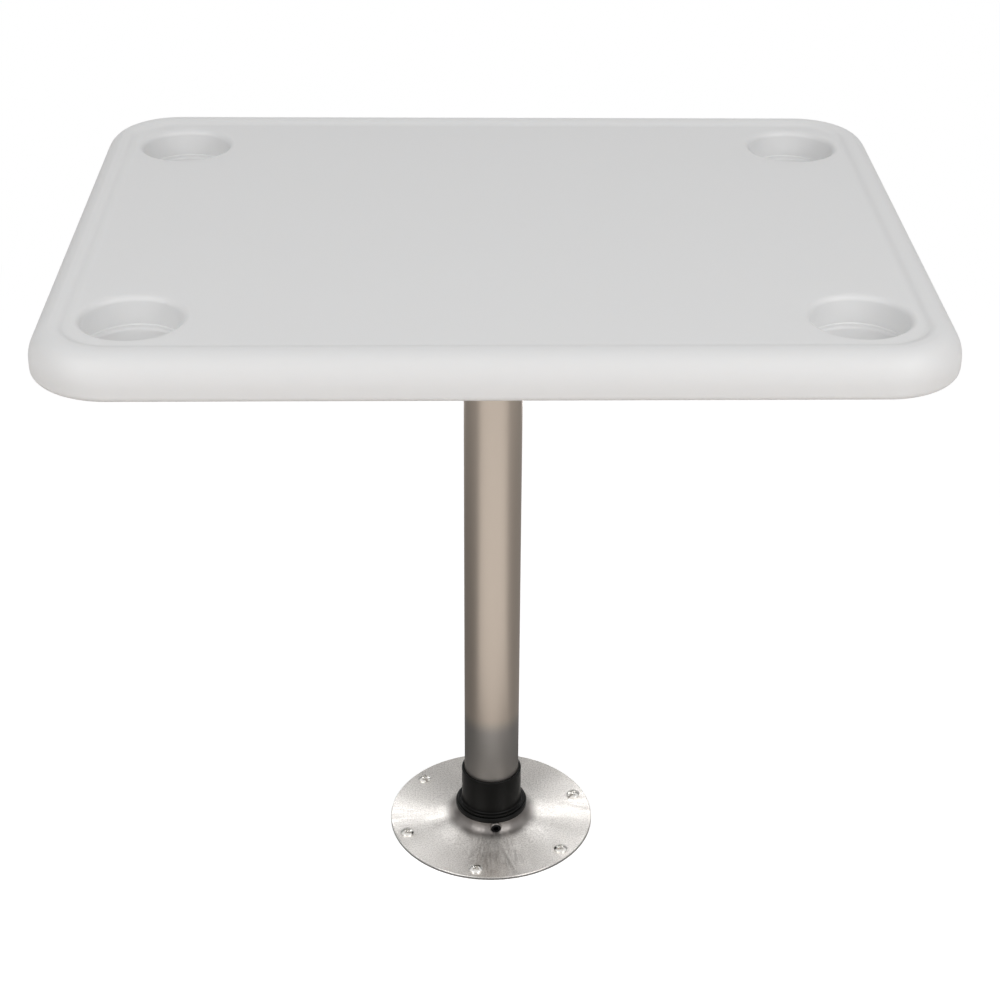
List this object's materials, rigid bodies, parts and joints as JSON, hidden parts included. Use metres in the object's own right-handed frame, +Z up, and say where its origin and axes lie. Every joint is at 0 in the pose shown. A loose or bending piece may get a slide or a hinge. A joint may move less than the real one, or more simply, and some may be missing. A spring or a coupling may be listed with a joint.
{
  "type": "single pole camper table",
  "caption": "Camper pedestal table: moulded white top with rolled rim and cup wells, on one aluminium post in a collared round floor base.",
  "frame": {"origin": "centre of the floor base at floor level, where the floor screws go in", "axes": "+Z up along the post, +X along the top's long side, +Y away from the set screw in the base's neck"},
  "size_m": [0.82, 0.63, 0.7578],
  "materials": {
    "white_panel": "smooth moulded, low sheen",
    "anodised_tube": "satin anodised",
    "black_nylon": "moulded, satin",
    "cast_aluminium": "bright brushed",
    "black_steel": "black oxide",
    "bright_screws": "bright stainless",
    "brass_inserts": "turned"
  },
  "bodies": {
    "floor_mount": {"floor_base": "cast_aluminium", "floor_collar": "black_nylon", "collar_set_screw": "black_steel", "floor_screw_1": "bright_screws", "floor_screw_2": "bright_screws", "floor_screw_3": "bright_screws", "floor_screw_4": "bright_screws", "floor_screw_5": "bright_screws", "floor_screw_6": "bright_screws"},
    "post": {"post_tube": "anodised_tube"},
    "swivel": {"swivel_cap": "black_nylon"},
    "table": {"table_top": "white_panel", "table_bracket": "cast_aluminium", "bracket_set_screw": "black_steel", "bracket_screw_1": "bright_screws", "bracket_screw_2": "bright_screws", "bracket_screw_3": "bright_screws", "bracket_screw_4": "bright_screws", "bracket_screw_5": "bright_screws", "bracket_screw_6": "bright_screws", "table_insert_1": "brass_inserts", "table_insert_2": "brass_inserts", "table_insert_3": "brass_inserts", "table_insert_4": "brass_inserts", "table_insert_5": "brass_inserts", "table_insert_6": "brass_inserts"}
  },
  "joints": [
    {"name": "post_lift", "type": "slide", "parent": "floor_mount", "child": "post", "axis": [0, 0, 1], "range_m": [0, 0.08]},
    {"name": "table_swivel", "type": "hinge", "parent": "post", "child": "swivel", "pos_m": [0, 0, 0.65], "axis": [0, 0, 1], "continuous": true},
    {"name": "table_lift", "type": "slide", "parent": "swivel", "child": "table", "axis": [0, 0, 1], "range_m": [0, 0.065]}
  ]
}
